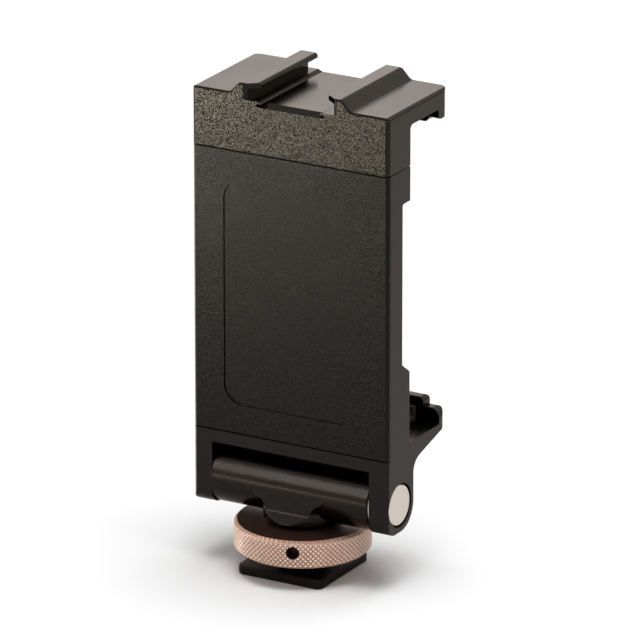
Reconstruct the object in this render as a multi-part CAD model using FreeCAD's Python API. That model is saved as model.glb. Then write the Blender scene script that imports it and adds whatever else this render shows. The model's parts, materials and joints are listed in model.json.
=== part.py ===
import FreeCAD, Part
import math
import os

# A clamp for a phone, with a shoe receiver on its head and a tilting shoe foot below.
# Millimetres. X runs across the clamp, Y from the front cover to the phone, Z up.
# The origin is the centre of the shoe foot's underside.

Vector = FreeCAD.Vector

# Body
BODY_WIDTH = 42.5
BODY_DEPTH = 8.45
AXIS_BEHIND_FRONT = 4.9
BODY_EDGE_BEVEL = 0.6
HEAD_EDGE_ROUND = 0.8
EDGE_BEVEL = 0.35
CROSSBAR_HEIGHT = 2.45
WINDOW_RISE = 7.55
EAR_THICK = 4.05
EAR_BELOW_AXIS = 5.4
EAR_BACK_REACH = 5.2
EAR_BACK_ROUND = 4.9
EAR_FRONT_ROUND = 2.9

# Front cover
COVER_THICK = 0.95
COVER_HEIGHT = 56.8
COVER_EDGE_BEVEL = 0.15
SEAM_GAP = 0.12
PANEL_WIDTH = 29.0
PANEL_HEIGHT = 45.0
PANEL_ROUND = 4.0
PANEL_DEPTH = 0.25

# Head with its arm, lip and shoe receiver
PARTING_GAP = 0.2
HEAD_HEIGHT = 11.4
HEAD_DEPTH = 23.4
HEAD_CORNER_ROUND = 2.1
TOP_EDGE_ROUND = 0.7
ARM_THICK = 3.5
ARM_ROOT_ROUND = 1.0
LIP_THICK = 4.0
LIP_END_DROP = 2.1
LIP_EDGE_ROUND = 0.9
LIP_ROOT_ROUND = 0.6
LIP_TAB_DROP = 3.1
LIP_TAB_INSET = 2.0
LIP_TAB_ROUND = 1.8

RECEIVER_WIDTH = 18.7
RECEIVER_HEIGHT = 2.1
RAIL_TIP_GAP = 14.5
RAIL_THICK = 1.05
RAIL_CREST_REACH = 1.7
RAIL_SLOPE_RUN = 2.0
RAIL_FOOT_ROUND = 1.4
RAIL_CREST_ROUND = 1.15
RAIL_TIP_ROUND = 0.63
RAIL_UNDER_ROUND = 0.21
LEDGE_SINK = 1.05
FLOOR_SINK = 0.42
FLOOR_RECESS_WIDTH = 12.4
FLOOR_RECESS_RUN = 1.0
LEAD_IN = 2.0
LEAD_IN_PAST_WALL = 0.5
FLOOR_LEAD_LENGTH = 1.6
FLOOR_LEAD_DROP = 0.7

# Lower jaw
SHELF_ABOVE_SEAM = 1.55
JAW_DEPTH = 22.8
SHELF_EDGE_THICK = 0.9
JAW_LIP_THICK = 2.6
JAW_CORNER_ROUND = 1.7
JAW_LIP_END_RISE = 2.95
JAW_LIP_END_ROUND = 1.9
JAW_LIP_TAB_RISE = 4.7
JAW_LIP_TAB_INSET = 3.5
JAW_LIP_TAB_ROUND = 1.0
JAW_LIP_EDGE_ROUND = 0.6
JAW_LIP_ROOT_ROUND = 0.5
SHELF_ROOT_ROUND = 0.8
SHELF_EDGE_ROUND = 0.6
WEDGE_FOOT_REACH = 7.4
WEDGE_FOOT_BELOW_SHELF = 3.7
EAR_BLEND = 3.0
EAR_BLEND_DROP = 1.0

# Cut-away of the rear corners beside the phone
NOTCH_LOW_ABOVE_SHELF = 14.4
NOTCH_HEIGHT = 34.1
NOTCH_DEPTH = 2.9
NOTCH_WIDTH = 2.6
NOTCH_RAMP = 2.1
NOTCH_ROUND = 0.5

# Rubber pads
PAD_THICK = 1.0
PAD_SIDE_INSET = 1.6
PAD_HEEL_ROUND = 0.6
PAD_INNER_ROUND = 0.5
PAD_EDGE_ROUND = 0.3
BACK_PAD_WIDTH = 30.0
BACK_PAD_HEIGHT = 40.0
BACK_PAD_ROUND = 3.0

# Guide rods and springs
JAW_TRAVEL = 25.0
ROD_SPACING = 23.0
ROD_RADIUS = 1.5
ROD_IN_HEAD = 5.0
BUSH_WALL = 0.8
BUSH_LENGTH = 6.4
CHANNEL_WIDTH = 6.6
CHANNEL_ROUND = 1.5
CHANNEL_BACK_WALL = 1.1
CHANNEL_END_ROOM = 2.0
SPRING_WIRE = 0.45
SPRING_ROD_GAP = 0.3
SPRING_TURNS = 10
SPRING_OPEN_LENGTH = 15.8
SPRING_SIDES = 4
SPRING_STEPS = 6
ROD_HEAD_RADIUS = 2.7
ROD_HEAD_HEIGHT = 2.1
HEX_SOCKET_ACROSS = 2.0
HEX_SOCKET_DEPTH = 1.2

# Hinge
PIN_RADIUS = 4.08
PIN_RECESS = 0.15
PIN_RIM_GAP = 0.28
PIN_RIM_DEPTH = 0.7
PIN_EDGE = 0.2
BARREL_RADIUS = 5.7
SHIM_THICK = 0.2
SHIM_RADIUS = 5.0
SHIM_SIDE_GAP = 0.05

# Neck between the hinge and the lock ring
NECK_RADIUS = 7.65
NECK_HEIGHT = 6.39
NECK_FOOT_INSET = 1.0
NECK_FOOT_RISE = 0.8
NECK_FLAT_REACH = 6.0
NECK_FLAT_BELOW_AXIS = 3.6
FACET_SLANT = 44.0
FACET_ROOT_ROUND = 0.6
FACET_EDGE_BEVEL = 0.15
NECK_FLARE = 2.6
NECK_FLARE_ABOVE_FACET = 1.2
NECK_FLARE_ROUND = 2.2

# Lock ring with its hub and washer
RING_RADIUS = 13.27
RING_HEIGHT = 5.55
RING_BEVEL = 0.6
RING_WALL = 4.4
HUB_FLANGE_THICK = 0.6
HUB_FLANGE_REACH = 3.7
SPANNER_HOLE_RADIUS = 1.3
SPANNER_HOLE_HEIGHT = 3.25
SPANNER_HOLE_DEPTH = 3.6
SPANNER_HOLE_ANGLE = 21.0
WASHER_RADIUS = 8.0
WASHER_THICK = 1.0
WASHER_PROUD = 0.3
WASHER_SIDE_GAP = 0.2
RING_TRAVEL = 1.9
RING_NECK_GAP = 0.1

# Shoe foot with its hollow stud
FOOT_WIDTH = 18.6
FOOT_LENGTH = 19.0
FOOT_THICK = 1.92
FOOT_CORNER_ROUND = 1.5
FOOT_EDGE_BEVEL = 0.3
FOOT_STOP_GAP = 0.38
STUD_RADIUS = 5.0
STUD_IN_NECK = 1.6
TRIPOD_HOLE_RADIUS = 2.6
TRIPOD_HOLE_DEPTH = 7.5

# Clearances, and how far a cut runs past the face that it opens
RUNNING_FIT = 0.04
SEAT_FIT = 0.02
OVERRUN = 1.0

# Places worked out from the sizes
HALF_WIDTH = BODY_WIDTH / 2
FRONT_Y = -AXIS_BEHIND_FRONT
BODY_BACK_Y = FRONT_Y + BODY_DEPTH
HEAD_BACK_Y = FRONT_Y + HEAD_DEPTH
JAW_BACK_Y = FRONT_Y + JAW_DEPTH
COVER_BACK_Y = FRONT_Y + COVER_THICK

WASHER_LOW_Z = FOOT_THICK + FOOT_STOP_GAP + RING_TRAVEL
RING_LOW_Z = WASHER_LOW_Z + WASHER_PROUD
RING_TOP_Z = RING_LOW_Z + RING_HEIGHT
NECK_LOW_Z = RING_TOP_Z + RING_NECK_GAP
AXIS_Z = NECK_LOW_Z + NECK_HEIGHT
WINDOW_TOP_Z = AXIS_Z + WINDOW_RISE
SEAM_Z = WINDOW_TOP_Z + CROSSBAR_HEIGHT
PARTING_Z = SEAM_Z + COVER_HEIGHT
HEAD_LOW_Z = PARTING_Z + PARTING_GAP
HEAD_TOP_Z = HEAD_LOW_Z + HEAD_HEIGHT
ARM_LOW_Z = HEAD_TOP_Z - ARM_THICK
SHELF_Z = SEAM_Z + SHELF_ABOVE_SEAM

LEDGE_Z = HEAD_TOP_Z - LEDGE_SINK
FLOOR_Z = LEDGE_Z - FLOOR_SINK
RAIL_UNDER_Z = LEDGE_Z + RECEIVER_HEIGHT
RAIL_TOP_Z = RAIL_UNDER_Z + RAIL_THICK

WINDOW_HALF = HALF_WIDTH - EAR_THICK
BARREL_HALF = WINDOW_HALF - SHIM_THICK - SHIM_SIDE_GAP
PIN_HALF = HALF_WIDTH - PIN_RECESS

ROD_X = ROD_SPACING / 2
ROD_Y = (COVER_BACK_Y + BODY_BACK_Y - CHANNEL_BACK_WALL) / 2
ROD_TOP_Z = HEAD_LOW_Z + ROD_IN_HEAD
BUSH_RADIUS = ROD_RADIUS + RUNNING_FIT + BUSH_WALL
CHANNEL_TOP_Z = PARTING_Z - BUSH_LENGTH
ROD_LOW_Z = CHANNEL_TOP_Z - JAW_TRAVEL - SPRING_OPEN_LENGTH
ROD_HEAD_LOW_Z = ROD_LOW_Z - ROD_HEAD_HEIGHT
CHANNEL_LOW_Z = ROD_HEAD_LOW_Z - CHANNEL_END_ROOM
CHANNEL_BACK_Y = BODY_BACK_Y - CHANNEL_BACK_WALL
SPRING_RADIUS = ROD_RADIUS + SPRING_ROD_GAP + SPRING_WIRE / 2

SIDES = (("left", -1), ("right", 1))


def side_view(y, z):
    """A point of a side outline, at X = 0."""
    return Vector(0, y, z)


def front_view(x, z):
    """A point of a front outline, at Y = 0."""
    return Vector(x, 0, z)


def plan_view(x, y):
    """A point of a plan outline, at Z = 0."""
    return Vector(x, y, 0)


def rounded_wire(corners, view):
    """A closed wire through corners (u, v, radius), with a tangent arc at each radius."""
    stretches = []
    for index, (u, v, radius) in enumerate(corners):
        here = view(u, v)
        before = view(*corners[index - 1][:2])
        after = view(*corners[(index + 1) % len(corners)][:2])
        if radius == 0:
            stretches.append((here, None, here))
            continue
        inward = (before - here).normalize()
        outward = (after - here).normalize()
        half_angle = inward.getAngle(outward) / 2
        reach = radius / math.tan(half_angle)
        bisector = (inward + outward).normalize()
        centre = here + bisector * (radius / math.sin(half_angle))
        middle = centre - bisector * radius
        stretches.append((here + inward * reach, middle, here + outward * reach))
    edges = []
    for index, (start, middle, end) in enumerate(stretches):
        if middle is not None:
            edges.append(Part.Arc(start, middle, end).toShape())
        next_start = stretches[(index + 1) % len(stretches)][0]
        if end.distanceToPoint(next_start) > 1e-6:
            edges.append(Part.LineSegment(end, next_start).toShape())
    return Part.Wire(edges)


def prism(corners, view, start, end):
    """The outline pushed from start to end along the axis that its view looks along."""
    along = {side_view: Vector(1, 0, 0), front_view: Vector(0, 1, 0), plan_view: Vector(0, 0, 1)}[view]
    face = Part.Face(rounded_wire(corners, view))
    face.translate(along * start)
    return face.extrude(along * (end - start))


def rectangle(low_u, high_u, low_v, high_v, radius=0):
    """The four corners of a rectangle, all with one radius."""
    corners = [(low_u, low_v), (high_u, low_v), (high_u, high_v), (low_u, high_v)]
    return [(u, v, radius) for u, v in corners]


def block(low_x, high_x, low_y, high_y, low_z, high_z):
    """A plain block between two corners."""
    size = (high_x - low_x, high_y - low_y, high_z - low_z)
    return Part.makeBox(*size, Vector(low_x, low_y, low_z))


def upright(radius, low_z, high_z, x=0.0, y=0.0):
    """A cylinder along Z."""
    return Part.makeCylinder(radius, high_z - low_z, Vector(x, y, low_z))


def across(radius, low_x, high_x):
    """A cylinder along the hinge axis."""
    return Part.makeCylinder(radius, high_x - low_x, Vector(low_x, 0, AXIS_Z), Vector(1, 0, 0))


def mirrored(shape):
    """The same shape on the other side of the clamp."""
    return shape.mirror(Vector(0, 0, 0), Vector(1, 0, 0))


def bevelled(shape, size, chosen):
    """The shape with a bevel on each edge that the test picks."""
    return shape.makeChamfer(size, [edge for edge in shape.Edges if chosen(edge)])


def lies_on(edge, axis, value):
    """True where the whole edge lies at one coordinate."""
    box = edge.BoundBox
    low = (box.XMin, box.YMin, box.ZMin)[axis]
    high = (box.XMax, box.YMax, box.ZMax)[axis]
    return abs(low - value) < 1e-4 and abs(high - value) < 1e-4


def head_plan(low_z, high_z):
    """The head's plan: small rounds at the front corners, larger ones at the back."""
    corners = [
        (-HALF_WIDTH, FRONT_Y, HEAD_EDGE_ROUND),
        (HALF_WIDTH, FRONT_Y, HEAD_EDGE_ROUND),
        (HALF_WIDTH, HEAD_BACK_Y, HEAD_CORNER_ROUND),
        (-HALF_WIDTH, HEAD_BACK_Y, HEAD_CORNER_ROUND),
    ]
    return prism(corners, plan_view, low_z, high_z)


def body_plan(low_z, high_z):
    """The body's and the cover's plan: bevelled front corners, round ones at the jaw's back."""
    bevel_x = HALF_WIDTH - BODY_EDGE_BEVEL
    bevel_y = FRONT_Y + BODY_EDGE_BEVEL
    corners = [
        (-HALF_WIDTH, bevel_y, 0),
        (-bevel_x, FRONT_Y, 0),
        (bevel_x, FRONT_Y, 0),
        (HALF_WIDTH, bevel_y, 0),
        (HALF_WIDTH, JAW_BACK_Y, JAW_CORNER_ROUND),
        (-HALF_WIDTH, JAW_BACK_Y, JAW_CORNER_ROUND),
    ]
    return prism(corners, plan_view, low_z, high_z)


def lip_corner_waste(radius, top_z, low_y, high_y):
    """What a round takes off the right end of a lip's top edge."""
    waste = block(HALF_WIDTH - radius, HALF_WIDTH, low_y, high_y, top_z - radius, top_z)
    centre = Vector(HALF_WIDTH - radius, low_y, top_z - radius)
    return waste.cut(Part.makeCylinder(radius, high_y - low_y, centre, Vector(0, 1, 0)))


def receiver_outline():
    """The head seen from the front: two shoe rails that stand up from the flat top."""
    wall = RECEIVER_WIDTH / 2
    tip = RAIL_TIP_GAP / 2
    crest = wall + RAIL_CREST_REACH
    rail_foot = crest + RAIL_SLOPE_RUN
    recess_top = FLOOR_RECESS_WIDTH / 2 + FLOOR_RECESS_RUN
    right = [
        (HALF_WIDTH, HEAD_LOW_Z, 0),
        (HALF_WIDTH, HEAD_TOP_Z, TOP_EDGE_ROUND),
        (rail_foot, HEAD_TOP_Z, RAIL_FOOT_ROUND),
        (crest, RAIL_TOP_Z, RAIL_CREST_ROUND),
        (tip, RAIL_TOP_Z, RAIL_TIP_ROUND),
        (tip, RAIL_UNDER_Z, RAIL_UNDER_ROUND),
        (wall, RAIL_UNDER_Z, 0),
        (wall, LEDGE_Z, 0),
        (recess_top, LEDGE_Z, 0),
        (FLOOR_RECESS_WIDTH / 2, FLOOR_Z, 0),
    ]
    left = [(-u, v, radius) for u, v, radius in reversed(right)]
    return right + left


def make_receiver():
    """The head's front outline pushed to the back, with lead-ins on both rails and a fine front bevel."""
    wall = RECEIVER_WIDTH / 2
    tip = RAIL_TIP_GAP / 2
    receiver = prism(receiver_outline(), front_view, FRONT_Y, HEAD_BACK_Y)
    lead_in = [
        (wall + LEAD_IN_PAST_WALL, FRONT_Y, 0),
        (tip - OVERRUN, FRONT_Y, 0),
        (tip - OVERRUN, FRONT_Y + LEAD_IN, 0),
        (tip, FRONT_Y + LEAD_IN, 0),
    ]
    corner = prism(lead_in, plan_view, LEDGE_Z, RAIL_TOP_Z)
    receiver = receiver.cut(corner).cut(mirrored(corner))

    def on_front_top(edge):
        middle = edge.BoundBox.Center
        return lies_on(edge, 1, FRONT_Y) and abs(middle.x) > wall and middle.z > HEAD_TOP_Z - TOP_EDGE_ROUND

    return bevelled(receiver, EDGE_BEVEL, on_front_top)


def make_upper_jaw():
    """Head, arm, lip and shoe receiver, milled from one piece."""
    lip_inner_y = HEAD_BACK_Y - LIP_THICK

    def jaw_side(lip_drop):
        return [
            (FRONT_Y, HEAD_LOW_Z, 0),
            (FRONT_Y, RAIL_TOP_Z, 0),
            (HEAD_BACK_Y, RAIL_TOP_Z, 0),
            (HEAD_BACK_Y, ARM_LOW_Z - lip_drop, LIP_EDGE_ROUND),
            (lip_inner_y, ARM_LOW_Z - lip_drop, LIP_EDGE_ROUND),
            (lip_inner_y, ARM_LOW_Z, LIP_ROOT_ROUND),
            (BODY_BACK_Y, ARM_LOW_Z, ARM_ROOT_ROUND),
            (BODY_BACK_Y, HEAD_LOW_Z, 0),
        ]

    ends = prism(jaw_side(LIP_END_DROP), side_view, -HALF_WIDTH, HALF_WIDTH)
    tab_half = HALF_WIDTH - LIP_TAB_INSET
    tab = prism(jaw_side(LIP_TAB_DROP), side_view, -tab_half, tab_half)
    tab_front = rectangle(-tab_half, tab_half, ARM_LOW_Z - LIP_TAB_DROP, RAIL_TOP_Z, LIP_TAB_ROUND)
    tab = tab.common(prism(tab_front, front_view, lip_inner_y - OVERRUN, HEAD_BACK_Y))
    head = ends.fuse(tab)
    head = head.common(make_receiver())
    head = head.common(head_plan(HEAD_LOW_Z, RAIL_TOP_Z))
    head = head.removeSplitter()

    # The floor slopes down to the front face over the width of its recess.
    ramp = [
        (FRONT_Y, FLOOR_Z, 0),
        (FRONT_Y + FLOOR_LEAD_LENGTH, FLOOR_Z, 0),
        (FRONT_Y, FLOOR_Z - FLOOR_LEAD_DROP, 0),
    ]
    ramp_half = FLOOR_RECESS_WIDTH / 2 + FLOOR_RECESS_RUN
    head = head.cut(prism(ramp, side_view, -ramp_half, ramp_half))

    for _, side in SIDES:
        hole = upright(ROD_RADIUS + SEAT_FIT, HEAD_LOW_Z, ROD_TOP_Z, side * ROD_X, ROD_Y)
        head = head.cut(hole)
    return head


def make_lower_body():
    """Columns, crossbar, hinge ears and lower jaw, milled from one piece."""
    jaw_lip_inner_y = JAW_BACK_Y - JAW_LIP_THICK
    ear_low_z = AXIS_Z - EAR_BELOW_AXIS

    def body_side(lip_rise):
        return [
            (FRONT_Y, ear_low_z, EAR_FRONT_ROUND),
            (EAR_BACK_REACH, ear_low_z, EAR_BACK_ROUND),
            (EAR_BACK_REACH, SHELF_Z - WEDGE_FOOT_BELOW_SHELF - EAR_BLEND_DROP, EAR_BLEND),
            (WEDGE_FOOT_REACH, SHELF_Z - WEDGE_FOOT_BELOW_SHELF, 0),
            (JAW_BACK_Y, SHELF_Z - SHELF_EDGE_THICK, SHELF_EDGE_ROUND),
            (JAW_BACK_Y, SHELF_Z + lip_rise, JAW_LIP_EDGE_ROUND),
            (jaw_lip_inner_y, SHELF_Z + lip_rise, JAW_LIP_EDGE_ROUND),
            (jaw_lip_inner_y, SHELF_Z, JAW_LIP_ROOT_ROUND),
            (BODY_BACK_Y, SHELF_Z, SHELF_ROOT_ROUND),
            (BODY_BACK_Y, PARTING_Z, 0),
            (FRONT_Y, PARTING_Z, 0),
        ]

    body = prism(body_side(JAW_LIP_END_RISE), side_view, -HALF_WIDTH, HALF_WIDTH)
    lip_top_z = SHELF_Z + JAW_LIP_END_RISE
    lip_corner = lip_corner_waste(JAW_LIP_END_ROUND, lip_top_z, jaw_lip_inner_y - OVERRUN, JAW_BACK_Y)
    body = body.cut(lip_corner).cut(mirrored(lip_corner))
    tab_half = HALF_WIDTH - JAW_LIP_TAB_INSET
    tab = prism(body_side(JAW_LIP_TAB_RISE), side_view, -tab_half, tab_half)
    tab_front = rectangle(-tab_half, tab_half, SHELF_Z, SHELF_Z + JAW_LIP_TAB_RISE, JAW_LIP_TAB_ROUND)
    tab = tab.common(prism(tab_front, front_view, jaw_lip_inner_y - OVERRUN, JAW_BACK_Y))
    body = body.fuse(tab)
    body = body.common(body_plan(ear_low_z, PARTING_Z)).removeSplitter()

    # Window between the ears, for the barrel and its neck.
    window = block(-WINDOW_HALF, WINDOW_HALF, FRONT_Y, JAW_BACK_Y, ear_low_z, WINDOW_TOP_Z)
    body = body.cut(window)

    # Seat of the front cover, open to both sides and to the top.
    body = body.cut(block(-HALF_WIDTH, HALF_WIDTH, FRONT_Y, COVER_BACK_Y, SEAM_Z, PARTING_Z))

    for _, side in SIDES:
        # Spring channel, closed by the cover, and the bush bore above it.
        middle_x = side * ROD_X
        channel = rectangle(
            middle_x - CHANNEL_WIDTH / 2,
            middle_x + CHANNEL_WIDTH / 2,
            CHANNEL_LOW_Z,
            CHANNEL_TOP_Z,
            CHANNEL_ROUND,
        )
        body = body.cut(prism(channel, front_view, COVER_BACK_Y, CHANNEL_BACK_Y))
        body = body.cut(upright(BUSH_RADIUS + SEAT_FIT, CHANNEL_TOP_Z - OVERRUN, PARTING_Z, middle_x, ROD_Y))

    # Rear corners cut away beside the phone, with a ramp at the low end.
    notch_low_z = SHELF_Z + NOTCH_LOW_ABOVE_SHELF
    notch = [
        (BODY_BACK_Y, notch_low_z, 0),
        (BODY_BACK_Y, notch_low_z + NOTCH_HEIGHT, 0),
        (BODY_BACK_Y - NOTCH_DEPTH, notch_low_z + NOTCH_HEIGHT, NOTCH_ROUND),
        (BODY_BACK_Y - NOTCH_DEPTH, notch_low_z + NOTCH_RAMP, NOTCH_ROUND),
    ]
    cut_away = prism(notch, side_view, HALF_WIDTH - NOTCH_WIDTH, HALF_WIDTH)
    body = body.cut(cut_away).cut(mirrored(cut_away))

    # Pin bore through both ears, wider at each outer end.
    body = body.cut(across(PIN_RADIUS + SEAT_FIT, -HALF_WIDTH, HALF_WIDTH))
    rim = across(PIN_RADIUS + PIN_RIM_GAP, HALF_WIDTH - PIN_RIM_DEPTH, HALF_WIDTH)
    return body.cut(rim).cut(mirrored(rim))


def make_front_cover():
    """A thin plate that closes the spring channels and is flush all round."""
    low_z = SEAM_Z + SEAM_GAP
    plate = block(-HALF_WIDTH, HALF_WIDTH, FRONT_Y, COVER_BACK_Y, low_z, PARTING_Z)
    plate = plate.common(body_plan(low_z, PARTING_Z))

    def on_front_end_or_back_side(edge):
        """The front's top and bottom edges, and the upright edges where the plate meets the columns."""
        box = edge.BoundBox
        at_end = lies_on(edge, 2, low_z) or lies_on(edge, 2, PARTING_Z)
        at_side = lies_on(edge, 0, HALF_WIDTH) or lies_on(edge, 0, -HALF_WIDTH)
        front_end = at_end and lies_on(edge, 1, FRONT_Y)
        back_side = at_side and lies_on(edge, 1, COVER_BACK_Y) and box.ZLength > COVER_THICK
        return front_end or back_side

    plate = bevelled(plate, COVER_EDGE_BEVEL, on_front_end_or_back_side)
    middle_z = (low_z + PARTING_Z) / 2
    panel = rectangle(
        -PANEL_WIDTH / 2,
        PANEL_WIDTH / 2,
        middle_z - PANEL_HEIGHT / 2,
        middle_z + PANEL_HEIGHT / 2,
        PANEL_ROUND,
    )
    return plate.cut(prism(panel, front_view, FRONT_Y, FRONT_Y + PANEL_DEPTH))


def make_back_pad():
    """Rubber pad on the body's back, where the phone leans."""
    middle_z = SHELF_Z + NOTCH_LOW_ABOVE_SHELF + NOTCH_HEIGHT / 2
    outline = rectangle(
        -BACK_PAD_WIDTH / 2,
        BACK_PAD_WIDTH / 2,
        middle_z - BACK_PAD_HEIGHT / 2,
        middle_z + BACK_PAD_HEIGHT / 2,
        BACK_PAD_ROUND,
    )
    return prism(outline, front_view, BODY_BACK_Y, BODY_BACK_Y + PAD_THICK)


def make_jaw_pad(face_z, lip_inner_y, lip_reach, up):
    """Rubber angle along a jaw's face and the inside of its lip; up is 1 on the lower jaw."""
    inner_z = face_z + up * PAD_THICK
    profile = [
        (BODY_BACK_Y + PAD_THICK, face_z, 0),
        (lip_inner_y, face_z, PAD_HEEL_ROUND),
        (lip_inner_y, face_z + up * lip_reach, PAD_EDGE_ROUND),
        (lip_inner_y - PAD_THICK, face_z + up * lip_reach, PAD_EDGE_ROUND),
        (lip_inner_y - PAD_THICK, inner_z, PAD_INNER_ROUND),
        (BODY_BACK_Y + PAD_THICK, inner_z, PAD_EDGE_ROUND),
    ]
    pad_half = HALF_WIDTH - JAW_LIP_TAB_INSET - PAD_SIDE_INSET
    return prism(profile, side_view, -pad_half, pad_half)


def make_guide_rod(side):
    """A ground shoulder rod, screwed into the head; the spring sits on its lower end's hex-socket head."""
    x = side * ROD_X
    rod = upright(ROD_RADIUS, ROD_LOW_Z, ROD_TOP_Z, x, ROD_Y)
    rod = rod.fuse(upright(ROD_HEAD_RADIUS, ROD_HEAD_LOW_Z, ROD_LOW_Z, x, ROD_Y)).removeSplitter()
    corner_reach = HEX_SOCKET_ACROSS / math.sqrt(3)
    hexagon = []
    for step in range(6):
        angle = math.radians(60 * step)
        corner = (x + corner_reach * math.cos(angle), ROD_Y + corner_reach * math.sin(angle), 0)
        hexagon.append(corner)
    return rod.cut(prism(hexagon, plan_view, ROD_HEAD_LOW_Z, ROD_HEAD_LOW_Z + HEX_SOCKET_DEPTH))


def make_guide_bush(side):
    """A plain bush in the top of the body, in which the rod runs."""
    outer = upright(BUSH_RADIUS, CHANNEL_TOP_Z, PARTING_Z, side * ROD_X, ROD_Y)
    return outer.cut(upright(ROD_RADIUS + RUNNING_FIT, CHANNEL_TOP_Z, PARTING_Z, side * ROD_X, ROD_Y))


def make_spring(side):
    """A compression spring round the rod, between the bush and the rod's head, with ground ends."""
    length = CHANNEL_TOP_Z - ROD_LOW_Z
    steps = SPRING_TURNS * SPRING_STEPS
    sections = []
    for step in range(steps + 1):
        turn = math.radians(360 * step / SPRING_STEPS)
        outward = Vector(math.cos(turn), math.sin(turn), 0)
        middle = Vector(side * ROD_X, ROD_Y, ROD_LOW_Z + length * step / steps) + outward * SPRING_RADIUS
        corners = []
        for corner in range(SPRING_SIDES + 1):
            angle = math.radians(360 * corner / SPRING_SIDES)
            across_wire = outward * math.cos(angle) + Vector(0, 0, 1) * math.sin(angle)
            corners.append(middle + across_wire * (SPRING_WIRE / 2))
        sections.append(Part.makePolygon(corners))
    coil = Part.makeLoft(sections, True, True)
    reach = SPRING_RADIUS + SPRING_WIRE
    ground = upright(reach, ROD_LOW_Z, CHANNEL_TOP_Z, side * ROD_X, ROD_Y)
    return coil.common(ground)


def make_hinge_pin():
    """The steel pin through ears and barrel, a little below the ears' faces."""
    pin = across(PIN_RADIUS, -PIN_HALF, PIN_HALF)
    return bevelled(pin, PIN_EDGE, lambda edge: lies_on(edge, 0, PIN_HALF) or lies_on(edge, 0, -PIN_HALF))


def make_shim(side):
    """A thin friction washer between ear and barrel."""
    inner = WINDOW_HALF - SHIM_THICK
    disc = across(SHIM_RADIUS, inner, WINDOW_HALF).cut(across(PIN_RADIUS + SEAT_FIT, inner, WINDOW_HALF))
    return disc if side > 0 else mirrored(disc)


def barrel_tangent_point():
    """Where a line from the neck flat's lower edge touches the barrel, seen from the side."""
    reach = math.hypot(NECK_FLAT_REACH, NECK_FLAT_BELOW_AXIS)
    edge_angle = math.atan2(NECK_FLAT_BELOW_AXIS, NECK_FLAT_REACH)
    angle = edge_angle - math.acos(BARREL_RADIUS / reach)
    return BARREL_RADIUS * math.cos(angle), AXIS_Z - BARREL_RADIUS * math.sin(angle)


def make_tilt_base():
    """Barrel on the hinge pin and the round neck below it, from one piece."""
    flat_low_z = AXIS_Z - NECK_FLAT_BELOW_AXIS
    facet_run = (flat_low_z - NECK_LOW_Z) * math.tan(math.radians(FACET_SLANT))
    tangent_y, tangent_z = barrel_tangent_point()
    profile = [
        (NECK_FLAT_REACH + facet_run, NECK_LOW_Z, 0),
        (NECK_FLAT_REACH, flat_low_z, FACET_ROOT_ROUND),
        (tangent_y, tangent_z, 0),
    ]
    profile = profile + [(-y, z, radius) for y, z, radius in reversed(profile)]
    top_half = NECK_RADIUS + NECK_FLARE
    neck = prism(profile, side_view, -top_half, top_half)

    # The round form: an undercut foot, an upright wall and a flare towards the barrel.
    lathe_profile = [
        (0, NECK_LOW_Z, 0),
        (NECK_RADIUS - NECK_FOOT_INSET, NECK_LOW_Z, 0),
        (NECK_RADIUS, NECK_LOW_Z + NECK_FOOT_RISE, 0),
        (NECK_RADIUS, flat_low_z + NECK_FLARE_ABOVE_FACET, NECK_FLARE_ROUND),
        (top_half, AXIS_Z, 0),
        (top_half, tangent_z, 0),
        (0, tangent_z, 0),
    ]
    half_section = Part.Face(rounded_wire(lathe_profile, front_view))
    turned = half_section.revolve(Vector(0, 0, 0), Vector(0, 0, 1), 360)
    neck = neck.common(turned)

    def on_facet_arc(edge):
        box = edge.BoundBox
        above_foot = box.ZMin > NECK_LOW_Z + NECK_FOOT_RISE + 0.01
        return above_foot and box.ZMax < flat_low_z and box.ZLength > FACET_ROOT_ROUND

    neck = bevelled(neck, FACET_EDGE_BEVEL, on_facet_arc)
    base = across(BARREL_RADIUS, -BARREL_HALF, BARREL_HALF).fuse(neck).removeSplitter()
    base = base.cut(across(PIN_RADIUS + RUNNING_FIT, -BARREL_HALF, BARREL_HALF))
    stud_hole = upright(STUD_RADIUS + SEAT_FIT, NECK_LOW_Z, NECK_LOW_Z + STUD_IN_NECK)
    return base.cut(stud_hole)


def make_shoe_foot():
    """Foot plate with a hollow stud; the tripod thread goes up into the stud."""
    outline = rectangle(-FOOT_WIDTH / 2, FOOT_WIDTH / 2, -FOOT_LENGTH / 2, FOOT_LENGTH / 2, FOOT_CORNER_ROUND)
    plate = prism(outline, plan_view, 0, FOOT_THICK)
    plate = bevelled(plate, FOOT_EDGE_BEVEL, lambda edge: lies_on(edge, 2, 0) or lies_on(edge, 2, FOOT_THICK))
    stud = upright(STUD_RADIUS, 0.5 * FOOT_THICK, NECK_LOW_Z + STUD_IN_NECK)
    foot = plate.fuse(stud).removeSplitter()
    return foot.cut(upright(TRIPOD_HOLE_RADIUS, 0, TRIPOD_HOLE_DEPTH))


def make_pressure_washer():
    """The washer under the hub that presses on the shoe and doesn't turn."""
    top_z = WASHER_LOW_Z + WASHER_THICK
    ring = upright(WASHER_RADIUS, WASHER_LOW_Z, top_z)
    return ring.cut(upright(STUD_RADIUS + RUNNING_FIT, WASHER_LOW_Z, top_z))


def spanner_hole():
    """A blind radial hole in the rim, for a pin that helps to turn the ring."""
    angle = math.radians(SPANNER_HOLE_ANGLE)
    outward = Vector(math.sin(angle), -math.cos(angle), 0)
    start = outward * (RING_RADIUS - SPANNER_HOLE_DEPTH) + Vector(0, 0, RING_LOW_Z + SPANNER_HOLE_HEIGHT)
    return Part.makeCylinder(SPANNER_HOLE_RADIUS, SPANNER_HOLE_DEPTH + OVERRUN, start, outward)


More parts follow.
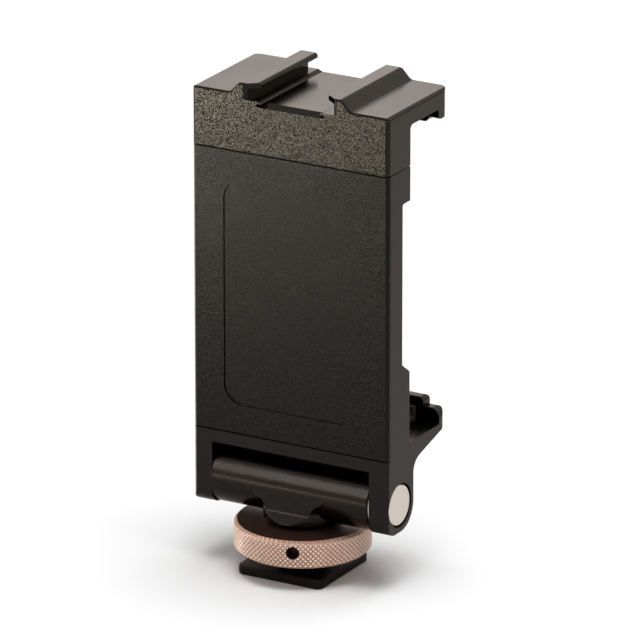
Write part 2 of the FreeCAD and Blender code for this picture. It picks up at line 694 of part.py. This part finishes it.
def make_lock_ring():
    """The knurled rim, with a bevel above and below."""
    ring = upright(RING_RADIUS, RING_LOW_Z, RING_TOP_Z)

    def on_a_rim(edge):
        return lies_on(edge, 2, RING_LOW_Z) or lies_on(edge, 2, RING_TOP_Z)

    ring = bevelled(ring, RING_BEVEL, on_a_rim)
    inner = RING_RADIUS - RING_WALL
    ring = ring.cut(upright(inner, RING_LOW_Z, RING_TOP_Z))
    flange = upright(inner + HUB_FLANGE_REACH, RING_TOP_Z - HUB_FLANGE_THICK, RING_TOP_Z)
    return ring.cut(flange).cut(spanner_hole())


def make_ring_hub():
    """The threaded hub pressed into the rim; its flange covers the rim's inner edge."""
    inner = RING_RADIUS - RING_WALL
    hub = upright(inner, RING_LOW_Z, RING_TOP_Z - HUB_FLANGE_THICK)
    hub = hub.fuse(upright(inner + HUB_FLANGE_REACH, RING_TOP_Z - HUB_FLANGE_THICK, RING_TOP_Z))
    hub = hub.removeSplitter()
    hub = hub.cut(upright(STUD_RADIUS + RUNNING_FIT, RING_LOW_Z, RING_TOP_Z))
    pocket_top_z = WASHER_LOW_Z + WASHER_THICK + WASHER_SIDE_GAP
    pocket = upright(WASHER_RADIUS + WASHER_SIDE_GAP, RING_LOW_Z, pocket_top_z)
    return hub.cut(pocket)


def build():
    """Every sub-part by its node's name."""
    parts = {
        "shoe_foot": make_shoe_foot(),
        "tilt_base": make_tilt_base(),
        "pressure_washer": make_pressure_washer(),
        "ring_hub": make_ring_hub(),
        "lock_ring": make_lock_ring(),
        "hinge_pin": make_hinge_pin(),
        "lower_body": make_lower_body(),
        "front_cover": make_front_cover(),
        "back_pad": make_back_pad(),
        "lower_jaw_pad": make_jaw_pad(SHELF_Z, JAW_BACK_Y - JAW_LIP_THICK, JAW_LIP_END_RISE, 1),
        "upper_jaw": make_upper_jaw(),
        "upper_jaw_pad": make_jaw_pad(ARM_LOW_Z, HEAD_BACK_Y - LIP_THICK, LIP_END_DROP, -1),
    }
    for name, side in SIDES:
        parts["friction_shim_" + name] = make_shim(side)
        parts["guide_bush_" + name] = make_guide_bush(side)
        parts["guide_rod_" + name] = make_guide_rod(side)
        parts["clamp_spring_" + name] = make_spring(side)
    return parts


os.makedirs("parts", exist_ok=True)
for node, shape in build().items():
    solids = shape.Solids
    if len(solids) != 1 or not shape.isValid():
        raise SystemExit(f"{node}: {len(solids)} solids, valid {shape.isValid()}")
    solids[0].exportStep(f"parts/{node}.step")
    print(f"{node}: {solids[0].Volume:.2f} mm3")
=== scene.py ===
import json
import math

import bpy
import numpy as np
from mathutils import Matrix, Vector


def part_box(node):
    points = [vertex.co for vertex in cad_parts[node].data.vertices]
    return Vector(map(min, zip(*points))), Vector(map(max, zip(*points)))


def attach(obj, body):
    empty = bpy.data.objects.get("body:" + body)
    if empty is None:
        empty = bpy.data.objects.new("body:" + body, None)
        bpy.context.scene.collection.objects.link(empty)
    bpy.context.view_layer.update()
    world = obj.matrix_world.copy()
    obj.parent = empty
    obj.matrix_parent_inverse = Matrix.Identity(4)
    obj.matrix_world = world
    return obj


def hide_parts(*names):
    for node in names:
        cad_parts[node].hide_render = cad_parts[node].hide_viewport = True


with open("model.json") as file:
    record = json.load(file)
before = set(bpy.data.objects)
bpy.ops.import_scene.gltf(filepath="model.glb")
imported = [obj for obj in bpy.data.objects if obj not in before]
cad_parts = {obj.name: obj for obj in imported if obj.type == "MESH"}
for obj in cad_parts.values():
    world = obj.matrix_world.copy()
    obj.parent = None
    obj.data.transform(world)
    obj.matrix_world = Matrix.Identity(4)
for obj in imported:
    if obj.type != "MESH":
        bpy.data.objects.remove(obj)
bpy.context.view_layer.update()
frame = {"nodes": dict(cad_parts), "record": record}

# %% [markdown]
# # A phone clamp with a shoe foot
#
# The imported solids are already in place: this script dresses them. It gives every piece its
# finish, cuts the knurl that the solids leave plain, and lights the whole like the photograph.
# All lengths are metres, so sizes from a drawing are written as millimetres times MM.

MM = 0.001
nodes = frame["nodes"]

# %% [markdown]
# ## Two small helpers
#
# Colours are picked as screen hex values, and the renderer wants linear ones. Materials are node
# trees, so one function adds a node with its settings and its inputs, linked or set.

# %% Colour and node helpers
def linear(hex_colour):
    """A screen colour such as #a0b0c0 as linear RGBA."""
    channels = [int(hex_colour[at:at + 2], 16) / 255 for at in (1, 3, 5)]
    return [c / 12.92 if c <= 0.04045 else ((c + 0.055) / 1.055) ** 2.4 for c in channels] + [1.0]


def add_node(tree, kind, inputs=None, **settings):
    """A new node of a kind, with its settings, and each input linked to a socket or set to a value."""
    node = tree.nodes.new(kind)
    for name, value in settings.items():
        setattr(node, name, value)
    for name, value in (inputs or {}).items():
        if isinstance(value, bpy.types.NodeSocket):
            tree.links.new(value, node.inputs[name])
        else:
            node.inputs[name].default_value = value
    return node


def new_material(name):
    """An empty material: its node tree and the socket with the object's own coordinates."""
    material = bpy.data.materials.new(name)
    material.use_nodes = True
    tree = material.node_tree
    tree.nodes.clear()
    place = add_node(tree, "ShaderNodeTexCoord").outputs["Object"]
    return material, tree, place


print("helpers ready; mid grey is", round(linear("#808080")[0], 3), "in linear light")

# %% [markdown]
# ## Anodised and blasted aluminium
#
# Head, body, cover, barrel and foot are milled or turned aluminium, blasted with fine beads and
# then anodised. Blasting leaves small pits and the dye soaks in a little unevenly, which gives the
# eye a dark soft sheen with a fine sparkle. One noise does both: it dents the surface and it shades
# the dye. Real pits are about 0.1 mm wide, too fine to show here, so the coarse ones are drawn
# about 0.2 mm wide. A much larger noise varies the gloss, or wide faces would look printed.

# %% A blasted aluminium
NOISE_LOW = 0.3
NOISE_HIGH = 0.7
CLOUD_MM = 14
GLOSS_SPREAD = 0.03
# With a side given, the grain fades out on faces that turn away from it, by the cosine between.
GRAIN_FULL_AT = 0.98
GRAIN_GONE_AT = 0.9
# The anodic film warms what the metal mirrors at a grazing angle.
EDGE_TINT = "#f5f0ec"


def blasted_aluminium(name, colour, roughness, grain_mm, grain_depth_mm, grain_shade, metallic, side=None):
    """Dyed aluminium with a blasted grain of a given size, depth and contrast, all over or on one side."""
    material, tree, place = new_material(name)
    grain = add_node(
        tree,
        "ShaderNodeTexNoise",
        {"Vector": place, "Scale": 1 / (grain_mm * MM), "Detail": 1.0, "Roughness": 0.6},
    )
    cloud_scale = 1 / (CLOUD_MM * MM)
    cloud = add_node(tree, "ShaderNodeTexNoise", {"Vector": place, "Scale": cloud_scale, "Detail": 3.0})
    depth = 1.0
    contrast = grain_shade
    if side:
        normal = add_node(tree, "ShaderNodeTexCoord").outputs["Normal"]
        facing = add_node(tree, "ShaderNodeVectorMath", {0: normal, 1: side}, operation="DOT_PRODUCT")
        blasted = add_node(
            tree,
            "ShaderNodeMapRange",
            {"Value": facing.outputs["Value"], "From Min": GRAIN_GONE_AT, "From Max": GRAIN_FULL_AT},
        )
        depth = blasted.outputs["Result"]
        faded = add_node(tree, "ShaderNodeMath", {0: depth, 1: grain_shade}, operation="MULTIPLY")
        contrast = faded.outputs["Value"]
    centred = add_node(
        tree,
        "ShaderNodeMapRange",
        {
            "Value": grain.outputs["Fac"],
            "From Min": NOISE_LOW,
            "From Max": NOISE_HIGH,
            "To Min": -1.0,
            "To Max": 1.0,
        },
    )
    shade = add_node(
        tree,
        "ShaderNodeMath",
        {0: centred.outputs["Result"], 1: contrast, 2: 1.0},
        operation="MULTIPLY_ADD",
    )
    colour_mix = add_node(
        tree,
        "ShaderNodeMix",
        {"Factor": 1.0, "A": linear(colour), "B": shade.outputs["Value"]},
        data_type="RGBA",
        blend_type="MULTIPLY",
    )
    gloss = add_node(
        tree,
        "ShaderNodeMapRange",
        {
            "Value": cloud.outputs["Fac"],
            "From Min": NOISE_LOW,
            "From Max": NOISE_HIGH,
            "To Min": roughness - GLOSS_SPREAD,
            "To Max": roughness + GLOSS_SPREAD,
        },
    )
    pits = add_node(
        tree,
        "ShaderNodeBump",
        {"Height": grain.outputs["Fac"], "Strength": depth, "Distance": grain_depth_mm * MM},
    )
    surface = add_node(
        tree,
        "ShaderNodeBsdfPrincipled",
        {
            "Base Color": colour_mix.outputs["Result"],
            "Metallic": metallic,
            "Roughness": gloss.outputs["Result"],
            "Specular Tint": linear(EDGE_TINT),
            "Normal": pits.outputs["Normal"],
        },
    )
    add_node(tree, "ShaderNodeOutputMaterial", {"Surface": surface.outputs["BSDF"]})
    return material


print("a blasted aluminium varies its gloss every", CLOUD_MM, "mm or so")

# %% [markdown]
# ## The six aluminium pieces
#
# The head is blasted coarse on its front only, and so is the cover, but more weakly: their other
# faces are plain satin. Body, foot and hub have a faint fine grain, and the turned barrel a wide
# and shallow one. The hub's brown film is thick enough to hide part of the metal. Each row gives
# name, colour, roughness, grain size and depth in millimetres, grain contrast, metallic and the
# coarse side.

# %% Finishes of the aluminium pieces
FRONT = (0, -1, 0)
DYE_METALLIC = 1.0
FILM_METALLIC = 0.75
BLASTED = {
    "head_grey": ("Bead-blasted grey aluminium", "#262420", 0.2, 0.21, 0.06, 1.15, DYE_METALLIC, FRONT),
    "body_grey": ("Satin grey aluminium", "#242120", 0.28, 0.16, 0.004, 0.06, DYE_METALLIC),
    "cover_grey": ("Fine-blasted olive-grey plate", "#1e1d1b", 0.28, 0.22, 0.05, 0.55, DYE_METALLIC, FRONT),
    "hinge_black": ("Satin black aluminium", "#24211f", 0.24, 0.5, 0.012, 0.15, DYE_METALLIC),
    "foot_black": ("Black aluminium foot", "#1e1b1a", 0.44, 0.16, 0.004, 0.05, DYE_METALLIC),
    "hub_plum": ("Dark brown anodised hub", "#4e3630", 0.42, 0.16, 0.004, 0.05, FILM_METALLIC),
}
finishes = {slot_name: blasted_aluminium(*values) for slot_name, values in BLASTED.items()}
for slot_name, material in finishes.items():
    print(slot_name, "is", material.name)

# %% [markdown]
# ## Champagne ring
#
# The ring is turned and knurled aluminium in a champagne anodise. The grooves and the smooth bevel are
# painted a deeper pink as shade, and the crests keep the pale champagne. The distance from the ring's own
# axis tells a crest from a groove. This pale film scatters most of the light, so the shader is only a
# little metallic.

# %% Champagne finish
KNURL_DEPTH = 0.32 * MM
# Painted shade: the grooves, the bevel and the recess are coloured darker than the crests.
GROOVE_SHADE_COLOUR = "#b68b76"
CREST_COLOUR = "#f2d8c6"
CHAMPAGNE_METALLIC = 0.2
CHAMPAGNE_ROUGHNESS = 0.25
rim_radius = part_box("lock_ring")[1].x
champagne, tree, place = new_material("Champagne anodised aluminium")
flat_place = add_node(tree, "ShaderNodeVectorMath", {0: place, 1: (1, 1, 0)}, operation="MULTIPLY")
from_axis = add_node(tree, "ShaderNodeVectorMath", {0: flat_place.outputs["Vector"]}, operation="LENGTH")
crest = add_node(
    tree,
    "ShaderNodeMapRange",
    {"Value": from_axis.outputs["Value"], "From Min": rim_radius - KNURL_DEPTH, "From Max": rim_radius},
)
# This mix paints the grooves darker as shade, by their distance from the ring's axis.
colour_mix = add_node(
    tree,
    "ShaderNodeMix",
    {"Factor": crest.outputs["Result"], "A": linear(GROOVE_SHADE_COLOUR), "B": linear(CREST_COLOUR)},
    data_type="RGBA",
)
surface = add_node(
    tree,
    "ShaderNodeBsdfPrincipled",
    {
        "Base Color": colour_mix.outputs["Result"],
        "Metallic": CHAMPAGNE_METALLIC,
        "Roughness": CHAMPAGNE_ROUGHNESS,
    },
)
add_node(tree, "ShaderNodeOutputMaterial", {"Surface": surface.outputs["BSDF"]})
finishes["ring_champagne"] = champagne
print("ring_champagne is", champagne.name, "for a rim of", round(rim_radius / MM, 2), "mm")

# %% [markdown]
# ## Plain metals, plastic and rubber
#
# These need less: a base colour, how metallic and how rough it is, and a fine unevenness. Only the
# pin and the pads show much at rest. The rods and bushes show when the head is pulled up.

# %% Other finishes
def plain_finish(name, colour, metallic, roughness, grain_mm, grain_depth_mm):
    """An even material with a fine grain lifted on it."""
    material, tree, place = new_material(name)
    scale = 1 / (grain_mm * MM)
    grain = add_node(tree, "ShaderNodeTexNoise", {"Vector": place, "Scale": scale, "Detail": 2.0})
    lift = add_node(
        tree,
        "ShaderNodeBump",
        {"Height": grain.outputs["Fac"], "Strength": 1.0, "Distance": grain_depth_mm * MM},
    )
    surface = add_node(
        tree,
        "ShaderNodeBsdfPrincipled",
        {
            "Base Color": linear(colour),
            "Metallic": metallic,
            "Roughness": roughness,
            "Normal": lift.outputs["Normal"],
        },
    )
    add_node(tree, "ShaderNodeOutputMaterial", {"Surface": surface.outputs["BSDF"]})
    return material


# The pin's end is ground: pale, with a soft sheen. Chrome on the rods is a near mirror.
finishes["pin_steel"] = plain_finish("Ground steel", "#c5bcb4", 1.0, 0.32, 0.3, 0.002)
finishes["rod_steel"] = plain_finish("Hard-chromed steel rod", "#cfd0d2", 1.0, 0.12, 0.5, 0.0005)
# Drawn wire is a greyer steel, and pressed bronze powder is dull and full of pores.
finishes["spring_steel"] = plain_finish("Spring wire", "#a3a4a6", 1.0, 0.3, 0.2, 0.001)
finishes["bush_bronze"] = plain_finish("Sintered bronze", "#b08550", 1.0, 0.45, 0.15, 0.004)
# Nylon is waxy, off-white or dyed black. Moulded rubber has hardly any gloss.
finishes["shim_nylon"] = plain_finish("Natural nylon", "#d9d5c9", 0.0, 0.5, 0.3, 0.002)
finishes["washer_nylon"] = plain_finish("Black nylon", "#1c1b1b", 0.0, 0.5, 0.3, 0.002)
finishes["pad_rubber"] = plain_finish("Matt black rubber", "#191817", 0.0, 0.75, 0.12, 0.01)
print("finishes in all:", len(finishes))

# %% [markdown]
# ## Dress the frame
#
# The record says which finish each sub-part has, so the two can't drift apart.

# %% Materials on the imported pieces
for subpart in frame["record"]["subparts"]:
    piece = nodes[subpart["node"]]
    piece.data.materials.clear()
    piece.data.materials.append(finishes[subpart["material_slot"]])
print("dressed", len(nodes), "packed pieces")

# %% [markdown]
# ## The knurled ring
#
# A diamond knurl is two families of grooves that cross. At each point of the rim the nearer groove
# sets the depth, so between the grooves stand small pyramids. A bump would leave the rim's outline
# smooth, so the pyramids are real: each row of the band is a list of radii all the way round.

# %% Rows of the knurl
KNURLS_ROUND = 84
KNURL_HEIGHT = 1.0 * MM
KNURL_CREST = 0.65
COLUMNS_PER_KNURL = 8
ROWS_PER_KNURL = 8
RING_BEVEL = 0.6 * MM

ring_low, ring_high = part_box("lock_ring")
columns = KNURLS_ROUND * COLUMNS_PER_KNURL
turn = 2 * math.pi * np.arange(columns) / columns


def groove_distance(position):
    """0 in a groove and 1 midway between two, for a position counted in knurls."""
    return 1 - 2 * np.abs(position % 1 - 0.5)


band_low = ring_low.z + RING_BEVEL
band_high = ring_high.z - RING_BEVEL
rows = round((band_high - band_low) / KNURL_HEIGHT * ROWS_PER_KNURL)
knurl_rows = []
for step in range(rows + 1):
    height = band_low + (band_high - band_low) * step / rows
    along = turn / (2 * math.pi) * KNURLS_ROUND
    rise = (height - band_low) / KNURL_HEIGHT
    crest = np.minimum(groove_distance(along + rise), groove_distance(along - rise)) / KNURL_CREST
    knurl_rows.append((rim_radius - KNURL_DEPTH * (1 - np.clip(crest, 0, 1)), height))
groove_pitch = 2 * math.pi * rim_radius / KNURLS_ROUND
print("knurl:", rows, "rows high, a groove every", round(groove_pitch / MM, 2), "mm")

# %% [markdown]
# ## The rim around the knurl
#
# The rest of the rim is a lathe shape: an outline of radius and height, swung round the axis. It
# goes down the inner wall, out along the underside, up over the bevels and the knurl, and back in
# over the recess for the hub's flange.

# %% Lathed rim
RING_WALL = 4.4 * MM
FLANGE_THICK = 0.6 * MM
FLANGE_EDGE = 0.7 * MM
recess_floor = ring_high.z - FLANGE_THICK
outline = [
    (rim_radius - RING_WALL, recess_floor),
    (rim_radius - RING_WALL, ring_low.z),
    (rim_radius - RING_BEVEL, ring_low.z),
    *knurl_rows,
    (rim_radius - RING_BEVEL, ring_high.z),
    (rim_radius - FLANGE_EDGE, ring_high.z),
    (rim_radius - FLANGE_EDGE, recess_floor),
]
vertices = []
for radius, height in outline:
    circle = np.stack([radius * np.cos(turn), radius * np.sin(turn), np.full(columns, height)], axis=1)
    vertices.extend(circle.tolist())
faces = []
for row in range(len(outline)):
    above = (row + 1) % len(outline)
    for column in range(columns):
        beside = (column + 1) % columns
        faces.append((
            row * columns + column,
            row * columns + beside,
            above * columns + beside,
            above * columns + column,
        ))
mesh = bpy.data.meshes.new("knurled lock ring")
mesh.from_pydata(vertices, [], faces)
mesh.polygons.foreach_set("use_smooth", [True] * len(mesh.polygons))
mesh.materials.append(finishes["ring_champagne"])
knurled_ring = bpy.data.objects.new("knurled_lock_ring", mesh)
bpy.context.scene.collection.objects.link(knurled_ring)
print("rim:", round(2 * rim_radius / MM, 2), "mm across,", len(mesh.polygons), "faces before the drill")

# %% [markdown]
# ## The hole in the rim
#
# A small blind hole takes a pin for a firmer turn. It is drilled with an exact boolean, which leaves a
# clean edge through the pyramids, and its wall takes the darker finish of the hub as painted shade in the
# hole.

# %% Drilled ring
HOLE_RADIUS = 1.3 * MM
HOLE_HEIGHT = 3.25 * MM
HOLE_DEPTH = 3.6 * MM
HOLE_ANGLE = 21.0
HOLE_SIDES = 48
SHARP_ANGLE = 50
outward = Vector((math.sin(math.radians(HOLE_ANGLE)), -math.cos(math.radians(HOLE_ANGLE)), 0))
bpy.ops.mesh.primitive_cylinder_add(
    vertices=HOLE_SIDES,
    radius=HOLE_RADIUS,
    depth=2 * HOLE_DEPTH,
    location=outward * rim_radius + Vector((0, 0, ring_low.z + HOLE_HEIGHT)),
    rotation=outward.to_track_quat("Z", "Y").to_euler(),
)
drill = bpy.context.object
# Painted shade: the hole's wall gets the dark hub finish.
drill.data.materials.append(finishes["hub_plum"])
cut = knurled_ring.modifiers.new("Radial hole", "BOOLEAN")
cut.object = drill
cut.solver = "EXACT"
cut.material_mode = "TRANSFER"
bpy.context.view_layer.update()
drilled = bpy.data.meshes.new_from_object(knurled_ring.evaluated_get(bpy.context.evaluated_depsgraph_get()))
knurled_ring.modifiers.clear()
knurled_ring.data = drilled
bpy.data.objects.remove(drill)
knurled_ring.data.set_sharp_from_angle(angle=math.radians(SHARP_ANGLE))
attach(knurled_ring, "ring")
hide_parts("lock_ring")
print("ring:", KNURLS_ROUND, "knurls round,", len(knurled_ring.data.polygons), "faces")

# %% [markdown]
# ## Studio
#
# A pale floor fills the picture and takes the soft contact shadow. What a camera ray or a mirrored
# ray sees of it is lifted a little, to white, and further out it fades into the white surround, as
# a paper sweep does. Dark metal shows mostly what it mirrors, so the same white floor and surround
# stand in the metal too, and cards and panels give it the rest.

# %% Floor
WHITE = (1, 1, 1, 1)
FLOOR_SIZE = 6.0
FLOOR_COLOUR = "#f4f4f4"
WHITE_LIFT = 0.03
FADE_FROM = 0.22
FADE_TO = 0.75


def seen_directly_or_mirrored(tree):
    """1 for a ray from the camera, off a shiny surface or through a clear one, and 0 for the rest."""
    ray = add_node(tree, "ShaderNodeLightPath").outputs
    which = ray["Is Camera Ray"]
    for other in ("Is Glossy Ray", "Is Transmission Ray"):
        either = add_node(tree, "ShaderNodeMath", {0: which, 1: ray[other]}, operation="MAXIMUM")
        which = either.outputs["Value"]
    return which


bpy.ops.mesh.primitive_plane_add(size=FLOOR_SIZE, location=(0, 0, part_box("shoe_foot")[0].z))
floor = bpy.context.object
floor.name = "Studio floor"
floor_material, tree, place = new_material("Pale studio floor")
ray_sees_it = seen_directly_or_mirrored(tree)
paint = add_node(tree, "ShaderNodeBsdfDiffuse", {"Color": linear(FLOOR_COLOUR)})
lift = add_node(tree, "ShaderNodeMath", {0: ray_sees_it, 1: WHITE_LIFT}, operation="MULTIPLY")
glow = add_node(tree, "ShaderNodeEmission", {"Color": WHITE, "Strength": lift.outputs["Value"]})
near = add_node(tree, "ShaderNodeAddShader", {0: paint.outputs["BSDF"], 1: glow.outputs["Emission"]})
far = add_node(tree, "ShaderNodeEmission", {"Color": WHITE, "Strength": 1.0})
from_the_object = add_node(tree, "ShaderNodeVectorMath", {0: place}, operation="LENGTH")
fade = add_node(
    tree,
    "ShaderNodeMapRange",
    {"Value": from_the_object.outputs["Value"], "From Min": FADE_FROM, "From Max": FADE_TO},
    interpolation_type="SMOOTHSTEP",
)
how_far = add_node(
    tree,
    "ShaderNodeMath",
    {0: fade.outputs["Result"], 1: ray_sees_it},
    operation="MULTIPLY",
)
sweep = add_node(
    tree,
    "ShaderNodeMixShader",
    {"Fac": how_far.outputs["Value"], 1: near.outputs["Shader"], 2: far.outputs["Emission"]},
)
add_node(tree, "ShaderNodeOutputMaterial", {"Surface": sweep.outputs["Shader"]})
floor_material.cycles.emission_sampling = "NONE"
floor.data.materials.append(floor_material)
print("floor at", round(floor.location.z / MM, 3), "mm")

# %% [markdown]
# ## White surround
#
# The surround is plain white wherever the camera or a shiny surface sees it. As a light it is much
# dimmer, so that the floor keeps a shadow.

# %% Surround
SURROUND_AS_LIGHT = 0.34
world = bpy.data.worlds.new("Studio surround")
bpy.context.scene.world = world
world.use_nodes = True
surround = world.node_tree
level = add_node(
    surround,
    "ShaderNodeMapRange",
    {"Value": seen_directly_or_mirrored(surround), "To Min": SURROUND_AS_LIGHT, "To Max": 1.0},
)
background = surround.nodes["Background"]
background.inputs["Color"].default_value = WHITE
surround.links.new(level.outputs["Result"], background.inputs["Strength"])
print("surround gives", SURROUND_AS_LIGHT, "as a light and 1 as a background")

# %% [markdown]
# ## Panels and cards
#
# One large panel overhead lights the set softly and is kept out of the metal's reflections. The
# cards do the reverse: they only show as reflections, on the front, the top, the hinge barrel and
# the rails. A low panel at the left does both. Each row gives name, place, what it faces, width,
# height, radiance, colour, whether it lights the set and whether metal mirrors it.

# %% Softboxes
CLAMP = (0, 0, 60 * MM)
PANELS = [
    ("Panel overhead", (0.09, 0.07, 1.2), CLAMP, 0.8, 0.8, 7.0, "#ffffff", True, False),
    ("Panel at the left", (-0.45, -0.1, 0.065), CLAMP, 0.4, 0.1, 2.4, "#ffffff", True, True),
    ("Card behind left", (-0.38, 0.44, 0.39), CLAMP, 0.36, 0.3, 1.4, "#fff7f9", False, True),
    ("Card behind right", (0.2, 0.5, 0.38), CLAMP, 0.3, 0.3, 0.5, "#fff4ee", False, True),
    ("Card at the front left", (-0.26, -0.42, 0.36), CLAMP, 0.26, 0.3, 4.6, "#ffffff", False, True),
    ("Card on the floor", (-0.26, -0.36, 0.004), (-0.26, -0.36, 1), 0.2, 0.3, 29.0, "#fffaf2", False, True),
]


def softbox(name, place, target, width, height, radiance, colour, lights_the_set, mirrored):
    """A panel that faces a target: it may light the set, be mirrored in shiny surfaces, or both."""
    light = bpy.data.lights.new(name, "AREA")
    light.shape = "RECTANGLE"
    light.size = width
    light.size_y = height
    light.energy = radiance * math.pi * width * height
    light.color = linear(colour)[:3]
    lamp = bpy.data.objects.new(name, light)
    lamp.location = place
    lamp.visible_camera = False
    lamp.visible_glossy = mirrored
    lamp.visible_diffuse = lights_the_set
    lamp.rotation_euler = (Vector(target) - Vector(place)).to_track_quat("-Z", "Y").to_euler()
    bpy.context.scene.collection.objects.link(lamp)
    print(name, "gives", round(light.energy, 2), "W")


for panel in PANELS:
    softbox(*panel)

# %% [markdown]
# ## Camera
#
# The photograph was taken with a long lens: straight edges barely converge. The camera stands
# 1.6 m away, turned 29.6 degrees round the clamp and raised 19.4 degrees.

# %% Camera and view settings
CAMERA_AZIMUTH = math.radians(29.63)
CAMERA_ELEVATION = math.radians(19.42)
CAMERA_DISTANCE = 1.6
CAMERA_LENS = 475.07
SENSOR_WIDTH = 36
target = Vector((3.70 * MM, 0.11 * MM, 50.76 * MM))
back = Vector((
    math.sin(CAMERA_AZIMUTH) * math.cos(CAMERA_ELEVATION),
    -math.cos(CAMERA_AZIMUTH) * math.cos(CAMERA_ELEVATION),
    math.sin(CAMERA_ELEVATION),
))
camera_data = bpy.data.cameras.new("Camera")
camera_data.lens = CAMERA_LENS
camera_data.sensor_width = SENSOR_WIDTH
camera_data.clip_start = 0.05
camera_data.clip_end = 20
camera = bpy.data.objects.new("Camera", camera_data)
camera.location = target + back * CAMERA_DISTANCE
camera.rotation_euler = (-back).to_track_quat("-Z", "Y").to_euler()
scene = bpy.context.scene
scene.collection.objects.link(camera)
scene.camera = camera
scene.view_settings.view_transform = "Standard"
print("camera at", [round(v, 3) for v in camera.location])
